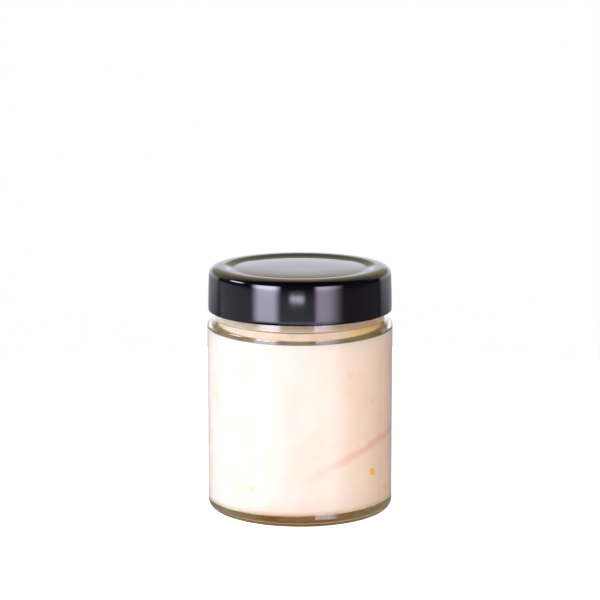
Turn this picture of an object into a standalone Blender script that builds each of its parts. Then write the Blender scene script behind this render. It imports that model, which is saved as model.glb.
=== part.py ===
"""Round preserving jar: a straight-sided clear glass body filled with a thick pale sauce and
closed by a deep twist-off lid of lacquered tinplate.

The frame stands on the jar's resting ring: origin at the centre of the base, +Z up the axis.
Every piece is a turned shape. Its half section is worked out in millimetres from the sizes
below, as a run of straight lines and arcs, and a Screw modifier turns it round the axis.
"""

import math

import bpy

MM = 0.001
TURN_STEPS = 60
MERGE_DISTANCE = 0.02
GAP = 0.3

# Glass body
BODY_RADIUS = 36.5
PANEL_DEPTH = 0.2
PANEL_BOTTOM = 30.0
PANEL_TOP = 58.0
PANEL_BLEND = 2.0
HEEL_RADIUS = 4.0
REST_RING_WIDTH = 2.2
PUNT_EDGE_RISE = 0.5
PUNT_HEIGHT = 2.0
WALL = 2.3
FLOOR_HEIGHT = 4.8
FLOOR_DOME = 0.5
INNER_HEEL_RADIUS = 2.5

# Shoulder and neck: outside, then the ceiling that slopes in from the wall to the throat
SHOULDER_RADIUS = 3.15
SHOULDER_TOP = 76.25
SHOULDER_ARC = 75.0
NECK_RADIUS = 33.3
NECK_FILLET = 0.5
FILLET_ARC = 70.0
MOUTH_RADIUS = 30.3
FINISH_TOP = 95.8
FINISH_ROUND = 1.2
CEILING_BOTTOM = 71.8
CEILING_RISE = 2.9
CEILING_ROUND = 0.5
THROAT_ROUND = 0.8

# Contents: up the neck, with a ring of trapped air under the shoulder
FILL_LEVEL = 87.5
MENISCUS = 0.8
MENISCUS_WIDTH = 1.6
POCKET_BOTTOM = 71.5
POCKET_TOP = 74.0
POCKET_SQUARENESS = 2.6

# Lid
LID_RADIUS = 36.0
LID_TOP = 96.8
LID_BOTTOM = 79.35
SHEET = 0.4
RIM_CREST_RADIUS = 29.8
RIM_FALL = 3.6
RIM_SQUARENESS = 3.5
STEP_DEPTH = 0.9
PANEL_RADIUS = 26.0
PANEL_CROWN = 0.28
PANEL_STEPS = 3
CURL_RADIUS = 0.75
CURL_STEPS = 9

# Colours, in linear light
GLASS_COLOUR = (0.93, 0.95, 0.92)
GLASS_ALPHA = 0.35
SAUCE_COLOUR = (0.90, 0.78, 0.66)
LACQUER_COLOUR = (0.012, 0.011, 0.015)

for leftover in list(bpy.data.objects):
    bpy.data.objects.remove(leftover, do_unlink=True)


def arc(centre, radius, start, end, steps):
    """Points on a circle about centre, from the start angle to the end angle in degrees."""
    points = []
    for step in range(steps + 1):
        angle = math.radians(start + (end - start) * step / steps)
        points.append((centre[0] + radius * math.cos(angle), centre[1] + radius * math.sin(angle)))
    return points


def rounded(before, corner, after, radius, steps):
    """The corner between two straight runs, turned into an arc that meets both of them."""

    def toward(other):
        length = math.dist(corner, other)
        return ((other[0] - corner[0]) / length, (other[1] - corner[1]) / length)

    back, ahead = toward(before), toward(after)
    half = 0.5 * math.acos(back[0] * ahead[0] + back[1] * ahead[1])
    middle = (back[0] + ahead[0], back[1] + ahead[1])
    reach = radius / math.sin(half) / math.hypot(*middle)
    centre = (corner[0] + middle[0] * reach, corner[1] + middle[1] * reach)
    cut = radius / math.tan(half)
    first = (corner[0] + back[0] * cut - centre[0], corner[1] + back[1] * cut - centre[1])
    last = (corner[0] + ahead[0] * cut - centre[0], corner[1] + ahead[1] * cut - centre[1])
    start = math.atan2(first[1], first[0])
    turn = math.remainder(math.atan2(last[1], last[0]) - start, math.tau)
    return arc(centre, radius, math.degrees(start), math.degrees(start + turn), steps)


def ease(start, end, steps, upright=True):
    """An S-shaped blend between two points whose ends run upright, or level."""
    points = []
    for step in range(steps + 1):
        share = step / steps
        smooth = share * share * (3.0 - 2.0 * share)
        across, along = (smooth, share) if upright else (share, smooth)
        points.append((start[0] + (end[0] - start[0]) * across, start[1] + (end[1] - start[1]) * along))
    return points


def squared_corner(centre, reach, fall, squareness, steps):
    """A quarter of a superellipse, from straight above its centre to level with it."""
    points = []
    for step in range(steps + 1):
        angle = 0.5 * math.pi * step / steps
        across = reach * abs(math.sin(angle)) ** (2.0 / squareness)
        up = fall * abs(math.cos(angle)) ** (2.0 / squareness)
        points.append((centre[0] + across, centre[1] + up))
    return points


def dome(radius, edge_height, rise, steps):
    """Points from the rim of a shallow dome to its middle on the axis."""
    points = []
    for step in range(steps + 1):
        reach = radius * (1.0 - step / steps)
        points.append((reach, edge_height + rise * (1.0 - (reach / radius) ** 2)))
    return points


def without_repeats(points):
    kept = [points[0]]
    for point in points[1:]:
        if math.dist(point, kept[-1]) > MERGE_DISTANCE:
            kept.append(point)
    return kept


def inner_floor(clearance):
    """The inside of the glass from floor centre round the heel, moved inwards by a clearance."""
    wall = BODY_RADIUS - WALL - clearance
    floor = FLOOR_HEIGHT + clearance
    corner = (wall - INNER_HEEL_RADIUS, floor + INNER_HEEL_RADIUS)
    points = list(reversed(dome(corner[0], floor, FLOOR_DOME, 3)))
    return points + arc(corner, INNER_HEEL_RADIUS, -90.0, 0.0, 5)


def jar_section():
    """Inner wall up to the mouth, over the rim, down the outside and under the base."""
    wall = BODY_RADIUS - WALL
    ceiling_low = (wall, CEILING_BOTTOM)
    ceiling_high = (MOUTH_RADIUS, CEILING_BOTTOM + CEILING_RISE)
    rim_inner = (MOUTH_RADIUS + FINISH_ROUND, FINISH_TOP - FINISH_ROUND)
    rim_outer = (NECK_RADIUS - FINISH_ROUND, FINISH_TOP - FINISH_ROUND)
    fillet = (NECK_RADIUS + NECK_FILLET, SHOULDER_TOP + NECK_FILLET)
    shoulder = (BODY_RADIUS - SHOULDER_RADIUS, SHOULDER_TOP - SHOULDER_RADIUS)
    recessed = BODY_RADIUS - PANEL_DEPTH
    heel = (BODY_RADIUS - HEEL_RADIUS, HEEL_RADIUS)
    ring_inner = heel[0] - REST_RING_WIDTH

    points = inner_floor(0.0)
    points += rounded((wall, FLOOR_HEIGHT), ceiling_low, ceiling_high, CEILING_ROUND, 3)
    points += rounded(ceiling_low, ceiling_high, (MOUTH_RADIUS, FINISH_TOP), THROAT_ROUND, 3)
    points += arc(rim_inner, FINISH_ROUND, 180.0, 90.0, 3)
    points += arc(rim_outer, FINISH_ROUND, 90.0, 0.0, 3)
    points += arc(fillet, NECK_FILLET, 180.0, 180.0 + FILLET_ARC, 2)
    points += arc(shoulder, SHOULDER_RADIUS, SHOULDER_ARC, 0.0, 6)
    points += ease((BODY_RADIUS, PANEL_TOP + PANEL_BLEND), (recessed, PANEL_TOP), 2)
    points += ease((recessed, PANEL_BOTTOM), (BODY_RADIUS, PANEL_BOTTOM - PANEL_BLEND), 2)
    points += arc(heel, HEEL_RADIUS, 0.0, -90.0, 6)
    points.append((ring_inner, 0.0))
    points += dome(ring_inner - PUNT_EDGE_RISE, PUNT_EDGE_RISE, PUNT_HEIGHT - PUNT_EDGE_RISE, 3)
    return without_repeats(points)


def contents_section():
    """From the middle of the surface down the neck, round the air pocket, down to the floor."""
    neck = MOUTH_RADIUS - GAP
    wall = BODY_RADIUS - WALL - GAP
    points = [(0.0, FILL_LEVEL - MENISCUS)]
    points.append((neck - MENISCUS_WIDTH, FILL_LEVEL - MENISCUS))
    points.append((neck, FILL_LEVEL))
    hollow = squared_corner((0.0, 0.0), wall - neck, POCKET_TOP - POCKET_BOTTOM, POCKET_SQUARENESS, 6)
    points += [(wall - across, POCKET_TOP - up) for across, up in reversed(hollow)]
    points += reversed(inner_floor(GAP))
    return without_repeats(points)


def lid_face(inset):
    """One face of the lid's sheet from the centre to the skirt, moved down and in by inset."""
    panel = LID_TOP - STEP_DEPTH - inset
    rim = LID_TOP - inset
    corner = (RIM_CREST_RADIUS, LID_TOP - RIM_FALL)
    reach = LID_RADIUS - RIM_CREST_RADIUS - inset
    points = []
    for step in range(PANEL_STEPS + 1):
        share = step / PANEL_STEPS
        points.append((PANEL_RADIUS * share, panel + PANEL_CROWN * (1.0 - share**4)))
    points += ease((PANEL_RADIUS, panel), (RIM_CREST_RADIUS, rim), 4, upright=False)
    points += squared_corner(corner, reach, RIM_FALL - inset, RIM_SQUARENESS, 10)
    return points


def lid_section():
    """Over the outside of the lid, round its rolled edge and back up the inside."""
    curl = (LID_RADIUS - CURL_RADIUS, LID_BOTTOM + CURL_RADIUS)
    curl_end = math.degrees(math.acos((CURL_RADIUS - SHEET) / CURL_RADIUS))
    points = lid_face(0.0)
    points += arc(curl, CURL_RADIUS, 0.0, curl_end - 360.0, CURL_STEPS)
    points += reversed(lid_face(SHEET))
    return without_repeats(points)


def finish(name, colour, roughness, alpha=1.0, transmission=0.0):
    material = bpy.data.materials.new(name)
    material.use_nodes = True
    shader = material.node_tree.nodes["Principled BSDF"]
    shader.inputs["Base Color"].default_value = (*colour, 1.0)
    shader.inputs["Roughness"].default_value = roughness
    shader.inputs["Alpha"].default_value = alpha
    shader.inputs["Transmission Weight"].default_value = transmission
    return material


def turned_piece(name, section, material):
    """Turn a half section, given in millimetres, round the Z axis."""
    mesh = bpy.data.meshes.new(name)
    corners = [(radius * MM, 0.0, height * MM) for radius, height in section]
    edges = [(index, index + 1) for index in range(len(corners) - 1)]
    mesh.from_pydata(corners, edges, [])
    mesh.materials.append(material)
    piece = bpy.data.objects.new(name, mesh)
    bpy.context.scene.collection.objects.link(piece)
    screw = piece.modifiers.new("turning", "SCREW")
    screw.axis = "Z"
    screw.angle = math.tau
    screw.steps = TURN_STEPS
    screw.render_steps = TURN_STEPS
    screw.use_merge_vertices = True
    screw.merge_threshold = MERGE_DISTANCE * MM
    screw.use_smooth_shade = True
    return piece


clear_glass = finish("clear_glass", GLASS_COLOUR, 0.02, alpha=GLASS_ALPHA, transmission=1.0)
pale_sauce = finish("pale_sauce", SAUCE_COLOUR, 0.35)
black_lacquer = finish("black_lacquer", LACQUER_COLOUR, 0.08)

turned_piece("glass_jar", jar_section(), clear_glass)
turned_piece("contents", contents_section(), pale_sauce)
turned_piece("lid", lid_section(), black_lacquer)
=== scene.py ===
"""A round preserving jar of thick pale sauce, shut by a deep black lacquered lid.

The pieces follow the order in which the real jar is made and filled: the moulded glass, the sauce
with its swirl and flecks, then the pressed lid. The table, the light and the camera come last.
Shapes and surface patterns are sized in millimetres; table, lamps and camera stand in metres.
"""

import math

import bpy
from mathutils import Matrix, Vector


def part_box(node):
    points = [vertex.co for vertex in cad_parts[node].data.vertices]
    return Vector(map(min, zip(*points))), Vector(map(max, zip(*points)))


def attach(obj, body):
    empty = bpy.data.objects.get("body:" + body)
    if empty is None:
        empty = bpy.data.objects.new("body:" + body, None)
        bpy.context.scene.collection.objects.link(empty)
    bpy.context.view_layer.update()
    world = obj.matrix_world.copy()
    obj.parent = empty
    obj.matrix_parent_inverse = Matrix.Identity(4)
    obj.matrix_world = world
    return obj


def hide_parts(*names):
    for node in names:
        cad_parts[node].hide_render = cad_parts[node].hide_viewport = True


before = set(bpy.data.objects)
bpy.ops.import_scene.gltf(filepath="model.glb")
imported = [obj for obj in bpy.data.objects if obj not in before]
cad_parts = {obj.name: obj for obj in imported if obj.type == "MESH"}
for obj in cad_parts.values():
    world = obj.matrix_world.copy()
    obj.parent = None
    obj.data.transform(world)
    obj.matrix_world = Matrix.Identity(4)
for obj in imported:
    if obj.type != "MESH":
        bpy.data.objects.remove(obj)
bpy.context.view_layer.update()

# ---------------------------------------------------------------------------------------------
# Glass body. Soda-lime glass, blown in a two-part mould and fire polished: a straight wall with a
# slightly recessed label panel, a thick base on a knurled resting ring, a rounded shoulder and a
# short neck. Its mould seam runs up both sides. It stands on its own resting ring.
# ---------------------------------------------------------------------------------------------
MM = 0.001
GLASS_SIDES = 480
WALL = 2.3
FLOOR_HEIGHT = 4.45
FLOOR_DOME = 0.5
INNER_HEEL = 2.5
HEEL = 3.4
REST_RING_WIDTH = 2.2
PUNT_EDGE = 0.5
PUNT_HEIGHT = 2.0
PANEL_DEPTH = 0.03
PANEL_BOTTOM = 30.0
PANEL_TOP = 58.0
PANEL_BLEND = 6.0
SHOULDER = 3.15
SHOULDER_TOP = 76.25
NECK_RADIUS = 33.3
NECK_FILLET = 0.5
MOUTH_RADIUS = 30.3
RIM_ROUND = 1.2
CEILING_BOTTOM = 71.8
CEILING_RISE = 2.9
CEILING_ROUND = 0.5
THROAT_ROUND = 0.8
SEAM_HEIGHT = 0.07
SEAM_WIDTH = 0.9
SEAM_TURN = math.radians(-80.5)
KNURL_COUNT = 80
KNURL_DEPTH = 0.12
FOOT_FLAT = 0.01
WELD = 0.002
WALL_STRAIGHT = (8.0, 70.0)
THROAT_STRAIGHT = 76.0
BODY_STRAIGHT = 72.0
INSIDE_LEAN = math.radians(1.0)
LEAN_FADE = (55.0, 68.0)
SIDE_RISE = 0.65
RISE_START = (56.0, 70.0)
RISE_FADE = (80.0, 92.0)

jar_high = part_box("glass_jar")[1]
body_radius = jar_high[0] / MM
finish_top = jar_high[2] / MM


def arc(centre, radius, start, end, steps):
    """Points on a circle about centre, from the start angle to the end angle in degrees."""
    angles = [math.radians(start + (end - start) * step / steps) for step in range(steps + 1)]
    return [(centre[0] + radius * math.cos(a), centre[1] + radius * math.sin(a)) for a in angles]


def smooth_step(value, low, high):
    """0 below the first value, 1 above the second, with a soft passage between them."""
    share = min(max((value - low) / (high - low), 0.0), 1.0)
    return share * share * (3.0 - 2.0 * share)


def ease(start, end, steps, upright=True):
    """An S-shaped blend between two points whose ends run upright, or level."""
    points = []
    for step in range(steps + 1):
        share = step / steps
        smooth = smooth_step(share, 0.0, 1.0)
        across, along = (smooth, share) if upright else (share, smooth)
        points.append((start[0] + (end[0] - start[0]) * across, start[1] + (end[1] - start[1]) * along))
    return points


def dome(radius, edge_height, rise, steps):
    """Points from the rim of a shallow dome to its middle on the axis."""
    reaches = [radius * (1.0 - step / steps) for step in range(steps + 1)]
    return [(reach, edge_height + rise * (1.0 - (reach / radius) ** 2)) for reach in reaches]


def line(start, end, steps):
    """Points spaced evenly from start up to, but not at, the end."""
    shares = [step / steps for step in range(steps)]
    return [(start[0] + (end[0] - start[0]) * s, start[1] + (end[1] - start[1]) * s) for s in shares]


def rounded(before, corner, after, radius, steps):
    """The corner between two straight runs, turned into an arc that meets both of them."""
    def toward(other):
        length = math.dist(corner, other)
        return ((other[0] - corner[0]) / length, (other[1] - corner[1]) / length)

    into, out = toward(before), toward(after)
    half = 0.5 * math.acos(into[0] * out[0] + into[1] * out[1])
    middle = (into[0] + out[0], into[1] + out[1])
    reach = radius / math.sin(half) / math.hypot(*middle)
    centre = (corner[0] + middle[0] * reach, corner[1] + middle[1] * reach)
    cut = radius / math.tan(half)
    first = (corner[0] + into[0] * cut, corner[1] + into[1] * cut)
    last = (corner[0] + out[0] * cut, corner[1] + out[1] * cut)
    start = math.atan2(first[1] - centre[1], first[0] - centre[0])
    turn = math.remainder(math.atan2(last[1] - centre[1], last[0] - centre[0]) - start, math.tau)
    angles = [start + turn * step / steps for step in range(steps + 1)]
    return [(centre[0] + radius * math.cos(a), centre[1] + radius * math.sin(a)) for a in angles]


def inner_floor(growth):
    """The inside of the floor and of the heel, grown into the glass by some mm."""
    corner = (body_radius - WALL + growth - INNER_HEEL, FLOOR_HEIGHT - growth + INNER_HEEL)
    floor = list(reversed(dome(corner[0], FLOOR_HEIGHT - growth, FLOOR_DOME, 8)))
    return floor + arc(corner, INNER_HEEL, -90.0, 0.0, 12)


def inner_shoulder():
    """The sloping ceiling under the shoulder, from the upright wall in to the throat."""
    wall = body_radius - WALL
    low = (wall, CEILING_BOTTOM)
    high = (MOUTH_RADIUS, CEILING_BOTTOM + CEILING_RISE)
    points = rounded((wall, 0.0), low, high, CEILING_ROUND, 8)
    throat = rounded(low, high, (MOUTH_RADIUS, finish_top), THROAT_ROUND, 8)
    return points + line(points[-1], throat[0], 8) + throat


def jar_section():
    """Half section of the glass: up the inside, over the rim, down the outside, under the base."""
    shoulder = (body_radius - SHOULDER, SHOULDER_TOP - SHOULDER)
    fillet = (NECK_RADIUS + NECK_FILLET, SHOULDER_TOP + NECK_FILLET)
    recessed = body_radius - PANEL_DEPTH
    heel = (body_radius - HEEL, HEEL)
    ring_inner = heel[0] - REST_RING_WIDTH
    punt_edge = ring_inner - PUNT_EDGE
    wall = body_radius - WALL
    rim = finish_top - RIM_ROUND
    inside = inner_floor(0.0) + line((wall, WALL_STRAIGHT[0]), (wall, WALL_STRAIGHT[1]), 14)
    inside += inner_shoulder() + line((MOUTH_RADIUS, THROAT_STRAIGHT), (MOUTH_RADIUS, rim), 8)
    inside += arc((MOUTH_RADIUS + RIM_ROUND, rim), RIM_ROUND, 180.0, 90.0, 6)
    outside = arc((NECK_RADIUS - RIM_ROUND, rim), RIM_ROUND, 90.0, 0.0, 6)
    outside += arc(fillet, NECK_FILLET, 180.0, 252.0, 6)
    outside += arc(shoulder, SHOULDER, 78.0, 0.0, 18)
    outside += line((body_radius, BODY_STRAIGHT), (body_radius, PANEL_TOP + PANEL_BLEND), 4)
    outside += ease((body_radius, PANEL_TOP + PANEL_BLEND), (recessed, PANEL_TOP), 6)
    outside += line((recessed, PANEL_TOP - 1.0), (recessed, PANEL_BOTTOM), 9)
    outside += ease((recessed, PANEL_BOTTOM), (body_radius, PANEL_BOTTOM - PANEL_BLEND), 6)
    outside += line((body_radius, PANEL_BOTTOM - PANEL_BLEND - 1.0), (body_radius, HEEL), 8)
    outside += arc(heel, HEEL, 0.0, -90.0, 20)
    under = line((heel[0] - 0.2, 0.0), (ring_inner, 0.0), 5) + [(ring_inner, 0.0)]
    under += dome(punt_edge, PUNT_EDGE, PUNT_HEIGHT - PUNT_EDGE, 10)
    return inside, outside, under


def section_mesh(name, *runs, leaning=()):
    """The half section as a chain of points, each with its run number and how uneven it may be."""
    points, marks, leans, rises = [], [], [], []
    for number, run in enumerate(runs):
        for point in run:
            if not points or math.dist(point, points[-1]) > 1e-4:
                uneven = float(number in leaning)
                risen = smooth_step(point[1], *RISE_START) * (1.0 - smooth_step(point[1], *RISE_FADE))
                points.append(point)
                marks.append(float(number))
                leans.append(uneven * (1.0 - smooth_step(point[1], *LEAN_FADE)))
                rises.append(uneven * risen)
    mesh = bpy.data.meshes.new(name)
    chain = [(index, index + 1) for index in range(len(points) - 1)]
    mesh.from_pydata([(radius * MM, 0.0, height * MM) for radius, height in points], chain, [])
    for attribute, values in (("run", marks), ("lean", leans), ("rise", rises)):
        mesh.attributes.new(attribute, "FLOAT", "POINT").data.foreach_set("value", values)
    return mesh


def srgb(code):
    """A hex colour as linear red, green, blue and alpha."""
    parts = [int(code[start:start + 2], 16) / 255.0 for start in (1, 3, 5)]
    return (*[p / 12.92 if p <= 0.04045 else ((p + 0.055) / 1.055) ** 2.4 for p in parts], 1.0)


def fill(node, *unnamed, **named):
    """Give a node its sources: values, hex colours, sockets, or nodes whose first output is meant."""
    shown = [socket for socket in node.inputs if socket.enabled]
    for place, source in [*enumerate(unnamed), *named.items()]:
        socket = shown[place] if isinstance(place, int) else node.inputs[place.replace("_", " ")]
        if isinstance(source, str) and source.startswith("#"):
            source = srgb(source)
        if isinstance(source, bpy.types.Node):
            source = [output for output in source.outputs if output.enabled][0]
        if isinstance(source, bpy.types.NodeSocket):
            node.id_data.links.new(source, socket)
        else:
            socket.default_value = source
    return node


def add(tree, kind, *unnamed, **named):
    """Add one node. Its mode may follow its kind, and names in small letters are settings."""
    kind, _, mode = kind.partition(":")
    node = tree.nodes.new(kind)
    if mode:
        modes = [name for name in ("operation", "interpolation_type", "data_type") if hasattr(node, name)]
        setattr(node, modes[0], mode)
    for name in [name for name in named if name.islower()]:
        setattr(node, name, named.pop(name))
    return fill(node, *unnamed, **named)


def turning_tree():
    """Turns a half section round Z, with a raised mould seam and a knurled foot where asked."""
    tree = bpy.data.node_groups.new("Turning", "GeometryNodeTree")
    tree.is_modifier = True
    sockets = tree.interface
    sockets.new_socket("Section", in_out="INPUT", socket_type="NodeSocketGeometry")
    sockets.new_socket("Sides", in_out="INPUT", socket_type="NodeSocketInt")
    for size in ("Seam Height", "Seam Width", "Seam Turn", "Knurl Depth", "Knurl Count",
                 "Lean", "Side Rise"):
        sockets.new_socket(size, in_out="INPUT", socket_type="NodeSocketFloat")
    sockets.new_socket("Finish", in_out="INPUT", socket_type="NodeSocketMaterial")
    sockets.new_socket("Piece", in_out="OUTPUT", socket_type="NodeSocketGeometry")
    given = tree.nodes.new("NodeGroupInput").outputs

    # A grid has one row for each point of the section and one column for each side.
    size = add(tree, "GeometryNodeAttributeDomainSize", Geometry=given["Section"])
    columns = add(tree, "ShaderNodeMath:ADD", given["Sides"], 1.0)
    grid = add(tree, "GeometryNodeMeshGrid", Vertices_X=size.outputs["Point Count"], Vertices_Y=columns)
    index = add(tree, "GeometryNodeInputIndex")
    middle = add(tree, "ShaderNodeMath:ADD", index, 0.5)
    row = add(tree, "ShaderNodeMath:FLOOR", add(tree, "ShaderNodeMath:DIVIDE", middle, columns))
    passed = add(tree, "ShaderNodeMath:MULTIPLY", row, columns)
    column = add(tree, "ShaderNodeMath:SUBTRACT", index, passed)
    step = add(tree, "ShaderNodeMath:DIVIDE", math.tau, given["Sides"])
    angle = add(tree, "ShaderNodeMath:MULTIPLY", column, step)

    where = add(tree, "GeometryNodeInputPosition")
    point = add(tree, "GeometryNodeSampleIndex:FLOAT_VECTOR", Geometry=given["Section"],
                Value=where, Index=row)
    marks = []
    for mark in ("run", "lean", "rise"):
        named = add(tree, "GeometryNodeInputNamedAttribute:FLOAT", Name=mark)
        marks.append(add(tree, "GeometryNodeSampleIndex:FLOAT", Geometry=given["Section"],
                         Value=named, Index=row))
    run, lean_share, rise_share = marks
    parts = add(tree, "ShaderNodeSeparateXYZ", point).outputs
    outside = add(tree, "ShaderNodeMath:COMPARE", run, 1.0, 0.1)
    under = add(tree, "ShaderNodeMath:COMPARE", run, 2.0, 0.1)

    # The seam is a low ridge of bell-shaped section, once on each side of the jar.
    turned_by = add(tree, "ShaderNodeMath:SUBTRACT", angle, given["Seam Turn"])
    away = add(tree, "ShaderNodeMath:MULTIPLY", add(tree, "ShaderNodeMath:SINE", turned_by), parts["X"])
    spread = add(tree, "ShaderNodeMath:DIVIDE", away, given["Seam Width"])
    squared = add(tree, "ShaderNodeMath:MULTIPLY", spread, spread)
    bell = add(tree, "ShaderNodeMath:EXPONENT", add(tree, "ShaderNodeMath:MULTIPLY", squared, -1.0))
    ridge = add(tree, "ShaderNodeMath:MULTIPLY", bell, given["Seam Height"])
    radius = add(tree, "ShaderNodeMath:MULTIPLY_ADD", ridge, outside, parts["X"])

    # The knurling is a ring of shallow radial grooves pressed up into the foot.
    turns = add(tree, "ShaderNodeMath:MULTIPLY", angle, given["Knurl Count"])
    wave = add(tree, "ShaderNodeMath:MAXIMUM", add(tree, "ShaderNodeMath:SINE", turns), 0.0)
    groove = add(tree, "ShaderNodeMath:MULTIPLY", wave, given["Knurl Depth"])
    flat = add(tree, "ShaderNodeMath:LESS_THAN", parts["Z"], FOOT_FLAT * MM)
    grooved = add(tree, "ShaderNodeMath:MULTIPLY", groove, flat)
    height = add(tree, "ShaderNodeMath:MULTIPLY_ADD", grooved, under, parts["Z"])

    # The inside of blown glass is uneven: its floor leans, and its ceiling rises to both sides.
    across = add(tree, "ShaderNodeMath:MULTIPLY", radius, add(tree, "ShaderNodeMath:COSINE", angle))
    along = add(tree, "ShaderNodeMath:MULTIPLY", radius, add(tree, "ShaderNodeMath:SINE", angle))
    lean = add(tree, "ShaderNodeMath:MULTIPLY", across, given["Lean"])
    leaned = add(tree, "ShaderNodeMath:MULTIPLY_ADD", lean, lean_share, height)
    squared = add(tree, "ShaderNodeMath:MULTIPLY", across, across)
    rise = add(tree, "ShaderNodeMath:MULTIPLY", squared, given["Side Rise"])
    uneven = add(tree, "ShaderNodeMath:MULTIPLY_ADD", rise, rise_share, leaned)

    place = add(tree, "ShaderNodeCombineXYZ", X=across, Y=along, Z=uneven)
    marked = add(tree, "GeometryNodeStoreNamedAttribute:FLOAT", Geometry=grid, Name="coat", Value=run)
    turned = add(tree, "GeometryNodeSetPosition", Geometry=marked, Position=place)
    welded = add(tree, "GeometryNodeMergeByDistance", Geometry=turned, Distance=WELD * MM)
    smooth = add(tree, "GeometryNodeSetShadeSmooth", Geometry=welded)
    real = add(tree, "GeometryNodeRealizeInstances", Geometry=smooth)
    done = add(tree, "GeometryNodeSetMaterial", Geometry=real, Material=given["Finish"])
    add(tree, "NodeGroupOutput", done)
    return tree


def grown(name, start_mesh, tree, **sizes):
    """Run a node tree on a mesh, with these inputs, and keep its result as a plain mesh object."""
    maker = bpy.data.objects.new(name + "_maker", start_mesh)
    bpy.context.scene.collection.objects.link(maker)
    modifier = maker.modifiers.new("making", "NODES")
    modifier.node_group = tree
    for socket in tree.interface.items_tree:
        if socket.in_out == "INPUT" and socket.name in sizes:
            modifier[socket.identifier] = sizes[socket.name]
    seen = maker.evaluated_get(bpy.context.evaluated_depsgraph_get())
    mesh = bpy.data.meshes.new_from_object(seen)
    mesh.name = name
    bpy.data.objects.remove(maker)
    piece = bpy.data.objects.new(name, mesh)
    bpy.context.scene.collection.objects.link(piece)
    return piece


def new_material(name):
    """A new material, with its node tree, its main shader and its output."""
    material = bpy.data.materials.new(name)
    material.use_nodes = True
    tree = material.node_tree
    return material, tree, tree.nodes["Principled BSDF"], tree.nodes["Material Output"]


# Soda-lime glass, blow moulded: clear, with a faint grey-olive cast that shows only along the
# thick base and shoulder, and a slow ripple that bends the edges of what it reflects.
GLASS_TINT = "#fbfcf8"
CAST_COLOUR = "#c6bf98"
CAST_DENSITY = 26.0
SHADOW_TINT = "#f4f4f0"
RIPPLE_LENGTH = 9.0
RIPPLE_DEPTH = 0.02
glass, tree, shader, output = new_material("Soda-lime glass, blow moulded")
place = add(tree, "ShaderNodeTexCoord").outputs["Object"]
ripple = add(tree, "ShaderNodeTexNoise", Vector=place, Scale=1 / (RIPPLE_LENGTH * MM), Detail=1.0)
bump = add(tree, "ShaderNodeBump", Strength=0.35, Distance=RIPPLE_DEPTH * MM, Height=ripple)
fill(shader, Base_Color=GLASS_TINT, Transmission_Weight=1.0, Roughness=0.0, IOR=1.52, Normal=bump)
cast = add(tree, "ShaderNodeVolumeAbsorption", Color=CAST_COLOUR, Density=CAST_DENSITY)
clear = add(tree, "ShaderNodeBsdfTransparent", Color=SHADOW_TINT)
shadow = add(tree, "ShaderNodeLightPath").outputs["Is Shadow Ray"]
fill(output, Surface=add(tree, "ShaderNodeMixShader", shadow, shader, clear), Volume=cast)

turning = turning_tree()
side_rise = SIDE_RISE * MM / ((body_radius - WALL) * MM) ** 2
uneven_inside = {"Lean": math.tan(INSIDE_LEAN), "Side Rise": side_rise}
jar = grown("jar_glass", section_mesh("jar_section", *jar_section(), leaning=(0,)), turning,
            Sides=GLASS_SIDES, Finish=glass, **uneven_inside, **{
                "Seam Height": SEAM_HEIGHT * MM, "Seam Width": SEAM_WIDTH * MM, "Seam Turn": SEAM_TURN,
                "Knurl Depth": KNURL_DEPTH * MM, "Knurl Count": float(KNURL_COUNT)})
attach(jar, "root")
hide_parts("glass_jar")

# ---------------------------------------------------------------------------------------------
# Sauce. A thick pale cream sauce, filled hot up into the neck, so that it wets the whole wall.
# It reaches just into the glass, which leaves no air between them.
# ---------------------------------------------------------------------------------------------
SAUCE_SIDES = 240
WETTING = 0.4
MENISCUS = 0.8
MENISCUS_REACH = 1.8
POCKET_CONTACT = 71.7
POCKET_CROWN = 74.4
POCKET_SQUARENESS = 2.6
POCKET_STEPS = 24

fill_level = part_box("contents")[1][2] / MM


def sauce_section():
    """From the middle of the surface over its edge, down the neck, past the pocket to the floor."""
    neck = MOUTH_RADIUS + WETTING
    wall = body_radius - WALL + WETTING
    surface = line((0.0, fill_level - MENISCUS), (neck - MENISCUS_REACH, fill_level - MENISCUS), 10)
    surface += ease((neck - MENISCUS_REACH, fill_level - MENISCUS), (neck, fill_level), 6, upright=False)
    reach, rise = wall - WETTING - 0.02 - MOUTH_RADIUS, POCKET_CROWN - POCKET_CONTACT
    pocket = []
    for step in range(POCKET_STEPS + 1):
        angle = 0.5 * math.pi * step / POCKET_STEPS
        in_share = 1.0 - abs(math.cos(angle)) ** (2.0 / POCKET_SQUARENESS)
        up_share = 1.0 - abs(math.sin(angle)) ** (2.0 / POCKET_SQUARENESS)
        pocket.append((MOUTH_RADIUS + reach * in_share, POCKET_CONTACT + rise * up_share))
    body = line((wall, POCKET_CONTACT), (wall, WALL_STRAIGHT[0]), 14)
    return surface, [(neck, POCKET_CROWN + 0.3)] + pocket + body + list(reversed(inner_floor(WETTING)))


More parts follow.
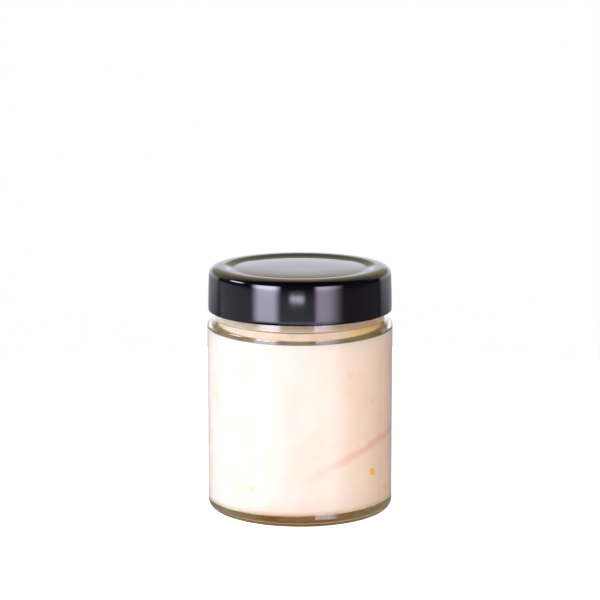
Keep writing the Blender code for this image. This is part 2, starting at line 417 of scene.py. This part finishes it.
# Emulsified cream sauce: pale, smooth and a little see-through, faintly mottled where it was stirred,
# with one pink swirl. Its underside is painted amber, a painted shade for the dim warm light that reaches
# it through the thick base.
SAUCE_COLOUR = "#f8e4d3"
MOTTLE_COLOUR = "#f6dfcb"
MOTTLE_SIZE = 11.0
STREAK_COLOUR = "#e6a49c"
STREAK_STRENGTH = 0.44
STREAK_HEIGHT = 33.5
STREAK_TOP_TURN = 97.0
STREAK_BEND = 0.0017
STREAK_DRIFT = 2.0
DRIFT_SIZE = 7.0
STREAK_EDGE = (2.9, 0.2)
STREAK_BEGINS = (-12.0, 48.0)
STREAK_ENDS = (120.0, 80.0)
# Painted shade: the underside colours stand in for the dim light under the sauce, not for its own colour.
UNDERSIDE_SHADE_COLOUR = "#ffc488"
UNDERSIDE_SHADE_PATCH_COLOUR = "#c88850"
UNDERSIDE_SHADE_PATCH_STRENGTH = 0.35
UNDERSIDE_SHADE_PATCH_SIZE = 6.0
UNDERSIDE_LIT_SIDE_COLOUR = "#f4ecc8"
UNDER_SIDES = (6.0, 22.0)
UNDER_EDGE = (5.25, 4.4)
sauce_skin, tree, shader, output = new_material("Cream sauce, emulsified")
place = add(tree, "ShaderNodeTexCoord").outputs["Object"]
parts = add(tree, "ShaderNodeSeparateXYZ", place).outputs

mottle = add(tree, "ShaderNodeTexNoise", Vector=place, Scale=1 / (MOTTLE_SIZE * MM), Detail=3.0)
mottled = add(tree, "ShaderNodeMapRange:SMOOTHSTEP", mottle, 0.4, 0.65)
cream = add(tree, "ShaderNodeMix:RGBA", mottled, SAUCE_COLOUR, MOTTLE_COLOUR)

# The swirl climbs round the jar in an arc, wanders a little and thins out at both ends.
front = add(tree, "ShaderNodeMath:MULTIPLY", parts["Y"], -1.0)
turn = add(tree, "ShaderNodeMath:DEGREES", add(tree, "ShaderNodeMath:ARCTAN2", parts["X"], front))
past_top = add(tree, "ShaderNodeMath:SUBTRACT", turn, STREAK_TOP_TURN)
squared = add(tree, "ShaderNodeMath:MULTIPLY", past_top, past_top)
above = add(tree, "ShaderNodeMath:SUBTRACT", parts["Z"], STREAK_HEIGHT * MM)
off = add(tree, "ShaderNodeMath:MULTIPLY_ADD", squared, STREAK_BEND * MM, above)
drift = add(tree, "ShaderNodeTexNoise", Vector=place, Scale=1 / (DRIFT_SIZE * MM), Detail=2.0)
wander = add(tree, "ShaderNodeMath:SUBTRACT", drift, 0.5)
off = add(tree, "ShaderNodeMath:MULTIPLY_ADD", wander, STREAK_DRIFT * MM, off)
away = add(tree, "ShaderNodeMath:ABSOLUTE", off)
near = add(tree, "ShaderNodeMapRange:SMOOTHSTEP", away, *[edge * MM for edge in STREAK_EDGE])
begun = add(tree, "ShaderNodeMapRange:SMOOTHSTEP", turn, *STREAK_BEGINS)
ended = add(tree, "ShaderNodeMapRange:SMOOTHSTEP", turn, *STREAK_ENDS)
along = add(tree, "ShaderNodeMath:MULTIPLY", begun, ended)
strength = add(tree, "ShaderNodeMath:MULTIPLY", along, STREAK_STRENGTH)
streak = add(tree, "ShaderNodeMath:MULTIPLY", near, strength)
cream = add(tree, "ShaderNodeMix:RGBA", streak, cream, STREAK_COLOUR)

# The underside is painted shade: amber in the middle, painted lighter pale straw towards the sides, with
# darker brown patches of painted shade.
side = add(tree, "ShaderNodeMath:ABSOLUTE", parts["X"])
sideways = add(tree, "ShaderNodeMapRange:SMOOTHSTEP", side, *[edge * MM for edge in UNDER_SIDES])
under = add(tree, "ShaderNodeMix:RGBA", sideways, UNDERSIDE_SHADE_COLOUR, UNDERSIDE_LIT_SIDE_COLOUR)
shade_patches = add(tree, "ShaderNodeTexNoise", Vector=place, Scale=1 / (UNDERSIDE_SHADE_PATCH_SIZE * MM), Detail=2.0)
shade_patchy = add(tree, "ShaderNodeMapRange:SMOOTHSTEP", shade_patches, 0.42, 0.62)
shade_patchy = add(tree, "ShaderNodeMath:MULTIPLY", shade_patchy, UNDERSIDE_SHADE_PATCH_STRENGTH)
under = add(tree, "ShaderNodeMix:RGBA", shade_patchy, under, UNDERSIDE_SHADE_PATCH_COLOUR)
lift = add(tree, "ShaderNodeMath:MULTIPLY_ADD", parts["X"], -math.tan(INSIDE_LEAN), parts["Z"])
low = add(tree, "ShaderNodeMapRange:SMOOTHSTEP", lift, *[edge * MM for edge in UNDER_EDGE])
cream = add(tree, "ShaderNodeMix:RGBA", low, cream, under)
fill(shader, Base_Color=cream, Roughness=0.4, IOR=1.4, Subsurface_Weight=0.6,
     Subsurface_Radius=(1.0, 0.6, 0.4), Subsurface_Scale=3.0 * MM)

sauce = grown("sauce", section_mesh("sauce_section", *sauce_section(), leaning=(0, 1)), turning,
              Sides=SAUCE_SIDES, Finish=sauce_skin, **uneven_inside, **{"Seam Width": MM})
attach(sauce, "root")
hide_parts("contents")

# A thin film of sauce clings to the glass above the air ring, under the shoulder. Its lower edge is
# painted olive as painted shade, and a darker painted shade line runs along the crease.
FILM_DEPTH = 0.12
FILM_THICKNESS = 0.08
FILM_COLOUR = "#fae0c2"
FILM_MOTTLE = "#f3d2b0"
FILM_LIT_SIDE_GOLD = "#f4cf88"
OLIVE_SHADE_COLOUR = "#8f7c56"
OLIVE_SHADE_DARK = "#7a6a48"
OLIVE_SHADE_TOP = 72.95
CREASE_SHADE_COLOUR = "#9a7c60"
CREASE_HEIGHT = 73.95
OLIVE_SHADE_SOFTNESS = 0.12
CREASE_SOFTNESS = 0.06
PATCH_SIZE = 6.0
GOLD_LIT_SIDE = (12.0, 25.0)
FILM_ENDS = (33.0, 30.5)


def film_section():
    """A thin closed ring that follows the sloping ceiling just inside the glass."""
    ceiling = [point for point in inner_shoulder() if point[1] > CEILING_BOTTOM - 0.4]
    outer, inner = [], []
    for number, point in enumerate(ceiling):
        before, after = ceiling[max(number - 1, 0)], ceiling[min(number + 1, len(ceiling) - 1)]
        run, rise = after[0] - before[0], after[1] - before[1]
        normal = (rise / math.hypot(run, rise), -run / math.hypot(run, rise))
        outer.append((point[0] + normal[0] * FILM_DEPTH, point[1] + normal[1] * FILM_DEPTH))
        inner.append((point[0] + normal[0] * (FILM_DEPTH - FILM_THICKNESS),
                      point[1] + normal[1] * (FILM_DEPTH - FILM_THICKNESS)))
    return outer, list(reversed(inner)) + outer[:1]


# Sauce film: thin and peach-coloured, with painted olive shade along its lower edge, a painted shade line
# at the crease and painted warm light towards the right, bare at the sides.
film_skin, tree, shader, output = new_material("Sauce film on glass, with painted shade")
place = add(tree, "ShaderNodeTexCoord").outputs["Object"]
parts = add(tree, "ShaderNodeSeparateXYZ", place).outputs
patches = add(tree, "ShaderNodeTexNoise", Vector=place, Scale=1 / (PATCH_SIZE * MM), Detail=3.0)
patchy = add(tree, "ShaderNodeMapRange:SMOOTHSTEP", patches, 0.35, 0.65)
across = add(tree, "ShaderNodeMath:MULTIPLY", parts["X"], parts["X"])
lift = add(tree, "ShaderNodeMath:MULTIPLY_ADD", across, -side_rise, parts["Z"])
# Painted light: the film turns gold towards the right side, as warm light there would make it.
lit_side_gold = add(tree, "ShaderNodeMapRange:SMOOTHSTEP", parts["X"], *[edge * MM for edge in GOLD_LIT_SIDE])
peach = add(tree, "ShaderNodeMix:RGBA", patchy, FILM_COLOUR, FILM_MOTTLE)
peach = add(tree, "ShaderNodeMix:RGBA", lit_side_gold, peach, FILM_LIT_SIDE_GOLD)
# Painted shade: a darker line is painted at the crease height.
crease_shaded = add(tree, "ShaderNodeMapRange:SMOOTHSTEP", lift,
              (CREASE_HEIGHT - CREASE_SOFTNESS) * MM, (CREASE_HEIGHT + CREASE_SOFTNESS) * MM)
peach = add(tree, "ShaderNodeMix:RGBA", crease_shaded, peach, CREASE_SHADE_COLOUR)
# Painted shade: the lower edge of the film is painted olive and darker.
olive_shaded = add(tree, "ShaderNodeMapRange:SMOOTHSTEP", lift,
            (OLIVE_SHADE_TOP + OLIVE_SHADE_SOFTNESS) * MM, (OLIVE_SHADE_TOP - OLIVE_SHADE_SOFTNESS) * MM)
olive_shade = add(tree, "ShaderNodeMix:RGBA", patchy, OLIVE_SHADE_COLOUR, OLIVE_SHADE_DARK)
side = add(tree, "ShaderNodeMath:ABSOLUTE", parts["X"])
shown = add(tree, "ShaderNodeMapRange:SMOOTHSTEP", side, *[edge * MM for edge in FILM_ENDS])
fill(shader, Base_Color=add(tree, "ShaderNodeMix:RGBA", olive_shaded, peach, olive_shade), Alpha=shown, Roughness=0.3)

film = grown("sauce_film", section_mesh("film_section", *film_section(), leaning=(0, 1)), turning,
             Sides=SAUCE_SIDES, Finish=film_skin, **uneven_inside, **{"Seam Width": MM})
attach(film, "root")

# Chopped pepper and spice in the sauce, mostly out of sight: flat crumbs that touch the glass.
# The larger ones are laid at the front and the right; small ones are strewn round the back.
FLECK_THICK = 0.5
FLECK_SINK = 0.17
FLECKS_STREWN = 22
FLECK_SEED = 4
STREWN_TURN = (92.0, 268.0)
STREWN_HEIGHT = (9.0, 67.0)
LUMP_SIZE = 0.5
LUMP_PUSH = 0.35
# turn from the front in degrees, height above the table, width and height of the crumb, hue from
# red over yellow to green, and how much cream veils it
FLECKS = [
    (52.5, 19.0, 3.1, 5.0, 0.5, 0.0),
    (33.0, 59.0, 3.8, 3.4, 0.1, 0.84),
    (52.7, 46.8, 3.0, 4.4, 0.4, 0.62),
    (0.0, 53.2, 4.2, 3.6, 0.35, 0.88),
    (-1.3, 32.0, 3.8, 3.2, 0.45, 0.84),
    (-31.4, 14.4, 3.6, 3.4, 0.95, 0.8),
    (67.9, 11.0, 3.6, 4.4, 0.4, 0.55),
]


def fleck_tree():
    """Lays a flat crumb at every given point, and strews more of them round the back."""
    tree = bpy.data.node_groups.new("Crumbs", "GeometryNodeTree")
    tree.is_modifier = True
    sockets = tree.interface
    sockets.new_socket("Placed", in_out="INPUT", socket_type="NodeSocketGeometry")
    for size in ("Wall Radius", "Lowest", "Highest"):
        sockets.new_socket(size, in_out="INPUT", socket_type="NodeSocketFloat")
    for number in ("Strewn", "Seed"):
        sockets.new_socket(number, in_out="INPUT", socket_type="NodeSocketInt")
    sockets.new_socket("Finish", in_out="INPUT", socket_type="NodeSocketMaterial")
    sockets.new_socket("Piece", in_out="OUTPUT", socket_type="NodeSocketGeometry")
    given = tree.nodes.new("NodeGroupInput").outputs

    ranges = {
        "turn": [math.radians(turn) for turn in STREWN_TURN],
        "height": (given["Lowest"], given["Highest"]),
        "wide": (0.9 * MM, 2.0 * MM),
        "high": (0.8 * MM, 2.0 * MM),
        "hue": (0.0, 1.0),
        "tilt": (-0.7, 0.7),
        "veil": (0.3, 0.9),
    }
    drawn = {}
    for salt, (name, limits) in enumerate(ranges.items(), start=1):
        seed = add(tree, "ShaderNodeMath:ADD", given["Seed"], float(salt))
        drawn[name] = add(tree, "FunctionNodeRandomValue:FLOAT", *limits, Seed=seed)

    sine = add(tree, "ShaderNodeMath:SINE", drawn["turn"])
    cosine = add(tree, "ShaderNodeMath:COSINE", drawn["turn"])
    back = add(tree, "ShaderNodeMath:MULTIPLY", given["Wall Radius"], -1.0)
    spot = add(tree, "ShaderNodeCombineXYZ", Z=drawn["height"],
               X=add(tree, "ShaderNodeMath:MULTIPLY", sine, given["Wall Radius"]),
               Y=add(tree, "ShaderNodeMath:MULTIPLY", cosine, back))
    strewn = add(tree, "GeometryNodePoints", Count=given["Strewn"], Position=spot)
    size = add(tree, "ShaderNodeCombineXYZ", X=drawn["wide"], Y=FLECK_THICK * MM, Z=drawn["high"])
    for name, kind, value in (("extent", "FLOAT_VECTOR", size), ("hue", "FLOAT", drawn["hue"]),
                              ("veil", "FLOAT", drawn["veil"])):
        strewn = add(tree, "GeometryNodeStoreNamedAttribute:" + kind,
                     Geometry=strewn, Name=name, Value=value)
    placed = add(tree, "GeometryNodeMeshToPoints", Mesh=given["Placed"])
    both = fill(add(tree, "GeometryNodeJoinGeometry", placed), strewn)

    where = add(tree, "GeometryNodeInputPosition")
    level = add(tree, "ShaderNodeVectorMath:MULTIPLY", where, (1.0, 1.0, 0.0))
    outward = add(tree, "FunctionNodeAlignRotationToVector", axis="Y", pivot_axis="Z", Vector=level)
    tilt = add(tree, "FunctionNodeAxisAngleToRotation", Axis=(0.0, 1.0, 0.0), Angle=drawn["tilt"])
    turned = add(tree, "FunctionNodeRotateRotation", rotation_space="LOCAL",
                 Rotation=outward, Rotate_By=tilt)
    extent = add(tree, "GeometryNodeInputNamedAttribute:FLOAT_VECTOR", Name="extent")
    crumb = add(tree, "GeometryNodeMeshIcoSphere", Radius=0.5, Subdivisions=3)
    laid = add(tree, "GeometryNodeInstanceOnPoints", Points=both, Instance=crumb,
               Rotation=turned, Scale=extent)
    real = add(tree, "GeometryNodeRealizeInstances", Geometry=laid)
    lump = add(tree, "ShaderNodeTexNoise", Vector=where, Scale=1 / (LUMP_SIZE * MM)).outputs["Color"]
    push = add(tree, "ShaderNodeVectorMath:SUBTRACT", lump, (0.5, 0.5, 0.5))
    push = add(tree, "ShaderNodeVectorMath:SCALE", push, LUMP_PUSH * MM)
    lumpy = add(tree, "GeometryNodeSetPosition", Geometry=real, Offset=push)
    smooth = add(tree, "GeometryNodeSetShadeSmooth", Geometry=lumpy)
    done = add(tree, "GeometryNodeSetMaterial", Geometry=smooth, Material=given["Finish"])
    add(tree, "NodeGroupOutput", done)
    return tree


# Chopped pepper in sauce: wet, from red-orange over yellow to olive green, one hue to a crumb.
RED_PEPPER = "#e88a5a"
YELLOW_PEPPER = "#fcc848"
GREEN_PEPPER = "#b4a43c"
fleck_skin, tree, shader, output = new_material("Chopped pepper, wet")
hue = add(tree, "ShaderNodeAttribute", attribute_name="hue").outputs["Fac"]
ramp = add(tree, "ShaderNodeValToRGB", hue)
ramp.color_ramp.elements[0].color = srgb(RED_PEPPER)
ramp.color_ramp.elements[1].color = srgb(GREEN_PEPPER)
ramp.color_ramp.elements.new(0.5).color = srgb(YELLOW_PEPPER)
veil = add(tree, "ShaderNodeAttribute", attribute_name="veil").outputs["Fac"]
veiled = add(tree, "ShaderNodeMix:RGBA", veil, ramp, SAUCE_COLOUR)
fill(shader, Base_Color=veiled, Roughness=0.35, Subsurface_Weight=0.3,
     Subsurface_Radius=(1.0, 0.5, 0.2), Subsurface_Scale=0.5 * MM)

wall_radius = body_radius - WALL + WETTING - FLECK_SINK
spots = bpy.data.meshes.new("fleck_spots")
places = []
for turn_degrees, fleck_height, *_ in FLECKS:
    angle = math.radians(turn_degrees)
    ahead = -math.cos(angle)
    places.append((wall_radius * MM * math.sin(angle), wall_radius * MM * ahead, fleck_height * MM))
spots.from_pydata(places, [], [])
extents = [size * MM for _, _, wide, high, *_ in FLECKS for size in (wide, FLECK_THICK, high)]
spots.attributes.new("extent", "FLOAT_VECTOR", "POINT").data.foreach_set("vector", extents)
for column, attribute in ((4, "hue"), (5, "veil")):
    values = [fleck[column] for fleck in FLECKS]
    spots.attributes.new(attribute, "FLOAT", "POINT").data.foreach_set("value", values)
flecks = grown("sauce_flecks", spots, fleck_tree(), Finish=fleck_skin,
               Strewn=FLECKS_STREWN, Seed=FLECK_SEED,
               Lowest=STREWN_HEIGHT[0] * MM, Highest=STREWN_HEIGHT[1] * MM,
               **{"Wall Radius": wall_radius * MM})
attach(flecks, "root")

# ---------------------------------------------------------------------------------------------
# Lid. Tinplate, deep drawn, with a black baked lacquer outside and a pale coat inside: a stepped
# panel, a rounded rim, a plain skirt and an edge rolled inwards. It twists on to the neck.
# ---------------------------------------------------------------------------------------------
LID_SIDES = 320
SHEET = 0.3
CREST_RADIUS = 30.15
RIM_FALL = 3.6
SQUARENESS = 3.5
STEP_DEPTH = 0.9
PANEL_RADIUS = 26.3
PANEL_CROWN = 0.28
CURL = 0.75
SKIRT_FLARE = 0.15
SKIRT_DRAW = 0.29
SKIRT_TOP = 93.2
COAT_EDGE = -85.0
PANEL_STEPS = 20
RIM_STEPS = 48

lid_low, lid_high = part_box("lid")
lid_radius = lid_high[0] / MM
lid_top = lid_high[2] / MM
lid_bottom = lid_low[2] / MM


def lid_face(inset):
    """One face of the sheet from the centre to the top of the skirt, moved in by the inset."""
    panel = lid_top - STEP_DEPTH - inset
    corner = (CREST_RADIUS, lid_top - RIM_FALL)
    reach = lid_radius - CREST_RADIUS - inset
    points = []
    for step in range(PANEL_STEPS):
        share = step / PANEL_STEPS
        points.append((PANEL_RADIUS * share, panel + PANEL_CROWN * (1.0 - share**4)))
    points += ease((PANEL_RADIUS, panel), (CREST_RADIUS, lid_top - inset), 14, upright=False)
    for step in range(RIM_STEPS + 1):
        angle = 0.5 * math.pi * step / RIM_STEPS
        across = reach * abs(math.sin(angle)) ** (2.0 / SQUARENESS)
        up = (RIM_FALL - inset) * abs(math.cos(angle)) ** (2.0 / SQUARENESS)
        points.append((corner[0] + across, corner[1] + up))
    return points


def drawn_in(points):
    """The skirt stands upright at its foot and draws in, little by little, towards the rim."""
    foot = lid_bottom + CURL
    result = []
    for radius, height in points:
        share = max(height - foot, 0.0) / (SKIRT_TOP - foot)
        result.append((radius * (1.0 + (SKIRT_FLARE - SKIRT_DRAW * share**2) / lid_radius), height))
    return result


def lid_section():
    """The lacquered face with its rolled edge, then the coated face on the inside."""
    curl = (lid_radius - CURL, lid_bottom + CURL)
    curl_end = math.degrees(math.acos((CURL - SHEET) / CURL))
    points = lid_face(0.0)
    points += line((lid_radius, points[-1][1] - 0.6), (lid_radius, curl[1]), 16)
    points += arc(curl, CURL, 0.0, COAT_EDGE, 7)
    inner = arc(curl, CURL, COAT_EDGE - 2.0, -360.0 + curl_end, 16) + list(reversed(lid_face(SHEET)))
    return drawn_in(points), drawn_in(inner)


# Black baked lacquer, sprayed on tinplate: a deep gloss with a very fine orange peel, which frays
# the edges of what it mirrors. The inside has a pale food-safe coat.
OUTSIDE_COLOUR = "#060509"
INSIDE_COLOUR = "#e0d0a8"
CLEAREST = 0.04
HAZE = 0.05
HAZE_SIZE = 9.0
PEEL_SIZE = 1.6
PEEL_DEPTH = 0.0025
lacquer, tree, shader, output = new_material("Black baked lacquer on tinplate")
inside = add(tree, "ShaderNodeAttribute", attribute_name="coat").outputs["Fac"]
coat = add(tree, "ShaderNodeMix:RGBA", inside, OUTSIDE_COLOUR, INSIDE_COLOUR)
place = add(tree, "ShaderNodeTexCoord").outputs["Object"]
haze = add(tree, "ShaderNodeTexNoise", Vector=place, Scale=1 / (HAZE_SIZE * MM), Detail=3.0)
gloss = add(tree, "ShaderNodeMath:MULTIPLY_ADD", haze, HAZE, CLEAREST)
peel = add(tree, "ShaderNodeTexNoise", Vector=place, Scale=1 / (PEEL_SIZE * MM), Detail=1.0)
bump = add(tree, "ShaderNodeBump", Strength=1.0, Distance=PEEL_DEPTH * MM, Height=peel)
fill(shader, Base_Color=coat, Roughness=gloss, IOR=1.52, Normal=bump)

lid = grown("lacquered_lid", section_mesh("lid_section", *lid_section()), turning,
            Sides=LID_SIDES, Finish=lacquer, **{"Seam Width": MM})
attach(lid, "root")
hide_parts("lid")

# ---------------------------------------------------------------------------------------------
# Table, light and camera. A plain white table in a bright studio: a pale backdrop behind, two
# tall windows in front to the left and right, and large soft lamps that light the food.
# ---------------------------------------------------------------------------------------------
TABLE_RADIUS = 0.32
TABLE_SIDES = 96
TABLE_GLOW = 0.8
TABLE_SHARE = 0.6
UNDER_JAR_SHADOW_SHARE = 0.3
UNDER_JAR_SHADOW = (35.6, 33.0)
GRAIN_SIZE = 0.8

turns = [math.tau * side / TABLE_SIDES for side in range(TABLE_SIDES)]
edge = [(TABLE_RADIUS * math.cos(turn), TABLE_RADIUS * math.sin(turn), 0.0) for turn in turns]
table_mesh = bpy.data.meshes.new("table")
table_mesh.from_pydata(edge, [], [tuple(range(TABLE_SIDES))])
table = bpy.data.objects.new("table", table_mesh)
bpy.context.scene.collection.objects.link(table)


def seen_or_lighting(tree, seen, lighting):
    """One strength for what is looked at, another for the light that reaches dull surfaces."""
    bounced = add(tree, "ShaderNodeLightPath").outputs["Diffuse Depth"]
    lights = add(tree, "ShaderNodeMath:GREATER_THAN", bounced, 0.5)
    return add(tree, "ShaderNodeMapRange", lights, To_Min=seen, To_Max=lighting)


# Matt white laminate, faintly grained. It is lit from above and below like a light table, which leaves no
# shadow round the jar; only the patch the jar stands on glows dimmer, a painted shadow.
table_top, tree, shader, output = new_material("White laminate, matt")
place = add(tree, "ShaderNodeTexCoord").outputs["Object"]
from_axis = add(tree, "ShaderNodeVectorMath:LENGTH", place)
# Painted shadow: the glow that is seen is dimmed on the patch under the jar.
painted_shadow = add(tree, "ShaderNodeMapRange:SMOOTHSTEP", from_axis, *[edge * MM for edge in UNDER_JAR_SHADOW])
shadow_dimming = TABLE_GLOW * (UNDER_JAR_SHADOW_SHARE - 1.0)
seen_glow = add(tree, "ShaderNodeMath:MULTIPLY_ADD", painted_shadow, shadow_dimming, TABLE_GLOW)
grain = add(tree, "ShaderNodeTexNoise", Vector=place, Scale=1 / (GRAIN_SIZE * MM), Detail=2.0)
fill(shader, Base_Color=add(tree, "ShaderNodeMix:RGBA", grain, "#f0f0f0", "#f8f8f8"),
     Roughness=add(tree, "ShaderNodeMath:MULTIPLY_ADD", grain, 0.15, 0.52))
glow = add(tree, "ShaderNodeEmission", Color="#ffffff",
           Strength=seen_or_lighting(tree, seen_glow, TABLE_GLOW * TABLE_SHARE))
fill(output, Surface=add(tree, "ShaderNodeAddShader", shader, glow))
table_mesh.materials.append(table_top)
table.visible_glossy = False

world = bpy.data.worlds.new("studio")
bpy.context.scene.world = world
world.use_nodes = True
world.cycles.sampling_method = "NONE"
tree = world.node_tree
tree.nodes.clear()
direction = add(tree, "ShaderNodeTexCoord").outputs["Generated"]
parts = add(tree, "ShaderNodeSeparateXYZ", direction).outputs
front = add(tree, "ShaderNodeMath:MULTIPLY", parts["Y"], -1.0)
turn = add(tree, "ShaderNodeMath:ARCTAN2", parts["X"], front)
height = add(tree, "ShaderNodeMath:ARCSINE", parts["Z"])


def between(angle, low, high, soft_low, soft_high):
    """1 where an angle lies between two limits in degrees, with soft edges."""
    passed = []
    for edge in ((low - soft_low, low + soft_low), (high + soft_high, high - soft_high)):
        limits = [math.radians(limit) for limit in edge]
        passed.append(add(tree, "ShaderNodeMapRange:SMOOTHSTEP", angle, *limits))
    return add(tree, "ShaderNodeMath:MULTIPLY", *passed)


# What the jar mirrors, as patches of the room. The table edges lie below the level of the windows.
# colour, brightness; turn from, to, softness of both; height from, to, softness of both
SURROUND = {
    "left room": ("#eeeeff", 0.65, -120, -57, 6, 6, -30, -6, 6, 1),
    "middle room": ("#eeeeff", 0.75, -27, 48, 5, 12, -30, -6, 6, 1.5),
    "right room": ("#f8eef8", 0.19, 48, 116, 12, 1, -30, -6, 6, 1),
    "ceiling": ("#eeeeff", 0.04, -181, 181, 0.1, 0.1, -6, 30, 1, 12),
    "left window": ("#e8e4ff", 20.0, -57.5, -28, 7, 6, -5.3, 12, 0.5, 1.5),
    "left sill": ("#e8e4ff", 10.0, -57.5, -28.5, 7, 6, -11.0, -5.3, 0.15, 0.5),
    "right window": ("#f2e2ff", 10.0, 20, 45, 4, 13, -5.2, 10, 0.5, 1.5),
    "right sill": ("#f2e2ff", 5.4, 20, 44, 4, 13, -11.0, -5.2, 0.15, 0.5),
    "far table edge": ("#f0e8ff", 16.0, -12, 4.5, 4, 4, -7.0, -6.2, 0.9, 0.15),
    "near table left": ("#e8e4ff", 3.0, -59, -27, 8, 6, -15.2, -11.0, 0.2, 0.15),
    "near table": ("#d0e0ff", 2.0, -27, 50, 6, 15, -15.2, -11.0, 0.2, 0.15),
    "window on table": ("#e8ecff", 7.0, 18, 44, 8, 8, -18.4, -15.8, 0.9, 0.7),
    "backdrop": ("#f4f4ff", 1.1, 121, 235, 6, 6, -7, 11.1, 6, 2.6),
    "backdrop foot": ("#f4f4ff", 0.35, 121, 235, 6, 6, -30, 11.3, 6, 1.2),
    "far wall": ("#ddd0b0", 0.92, 110, 250, 20, 20, 11.3, 62, 1.2, 10),
    "side lamp": ("#ffffff", 14.0, -98, -78, 4, 4, 10, 20, 3, 3),
}
ROOM_SHARE = 0.3
negative = add(tree, "ShaderNodeMath:LESS_THAN", turn, 0.0)
behind = add(tree, "ShaderNodeMath:MULTIPLY_ADD", negative, math.tau, turn)
total = (0.0, 0.0, 0.0)
for colour, strength, *sides in SURROUND.values():
    side = between(behind if sides[1] > 181 else turn, *sides[:4])
    level = between(height, *sides[4:])
    share = add(tree, "ShaderNodeMath:MULTIPLY", side, level)
    amount = add(tree, "ShaderNodeMath:MULTIPLY", share, strength)
    patch = add(tree, "ShaderNodeVectorMath:SCALE", srgb(colour)[:3], amount)
    total = add(tree, "ShaderNodeVectorMath:ADD", total, patch)
room = add(tree, "ShaderNodeBackground", Color=total, Strength=seen_or_lighting(tree, 1.0, ROOM_SHARE))
white = add(tree, "ShaderNodeBackground", Color="#ffffff", Strength=1.0)
looked_at = add(tree, "ShaderNodeLightPath").outputs["Is Camera Ray"]
add(tree, "ShaderNodeOutputWorld", Surface=add(tree, "ShaderNodeMixShader", looked_at, room, white))

LAMP_DISTANCE = 1.0
LAMP_SIDE = 0.4
LAMP_AIM = Vector((0.0, 0.0, 0.05))
FRONT_POWER = 6.4
FRONT_COLOUR = (0.72, 0.73, 1.0)
LEFT_POWER = 12.2
LEFT_COLOUR = (0.6, 0.72, 1.0)
NEAR_POWER = 5.0
NEAR_COLOUR = (0.8, 0.93, 1.0)
WARM_POWER = 2.2
WARM_COLOUR = (1.0, 0.4, 0.12)


def soft_lamp(name, turn, height, power, colour):
    """A square soft box that lights the food and is not itself seen or mirrored."""
    turn, height = math.radians(turn), math.radians(height)
    level = math.cos(height)
    way = Vector((math.sin(turn) * level, -math.cos(turn) * level, math.sin(height)))
    data = bpy.data.lights.new(name, "AREA")
    data.shape = "SQUARE"
    data.size = LAMP_SIDE
    data.energy = power
    data.color = colour
    lamp = bpy.data.objects.new(name, data)
    lamp.location = way * LAMP_DISTANCE + LAMP_AIM
    lamp.rotation_euler = way.to_track_quat("Z", "Y").to_euler()
    lamp.visible_camera = lamp.visible_glossy = lamp.visible_transmission = False
    bpy.context.scene.collection.objects.link(lamp)


soft_lamp("front_lamp", -15.0, 34.0, FRONT_POWER, FRONT_COLOUR)
soft_lamp("left_lamp", -95.0, 20.0, LEFT_POWER, LEFT_COLOUR)
soft_lamp("near_lamp", 20.0, 34.0, NEAR_POWER, NEAR_COLOUR)
soft_lamp("warm_lamp", 90.0, 8.0, WARM_POWER, WARM_COLOUR)

CAMERA_DISTANCE = 0.9729
CAMERA_HEIGHT = 0.2627
CAMERA_PITCH = math.radians(10.464)
FOCAL_PIXELS = 2511.2
PICTURE_SIDE = 600

camera_data = bpy.data.cameras.new("camera")
camera_data.sensor_width = 36.0
camera_data.lens = FOCAL_PIXELS / PICTURE_SIDE * camera_data.sensor_width
camera_data.clip_end = 50.0
camera = bpy.data.objects.new("camera", camera_data)
camera.location = (0.0, -CAMERA_DISTANCE, CAMERA_HEIGHT)
camera.rotation_euler = (math.pi / 2 - CAMERA_PITCH, 0.0, 0.0)
bpy.context.scene.collection.objects.link(camera)
bpy.context.scene.camera = camera

scene = bpy.context.scene
scene.view_settings.view_transform = "Standard"
scene.view_settings.look = "None"
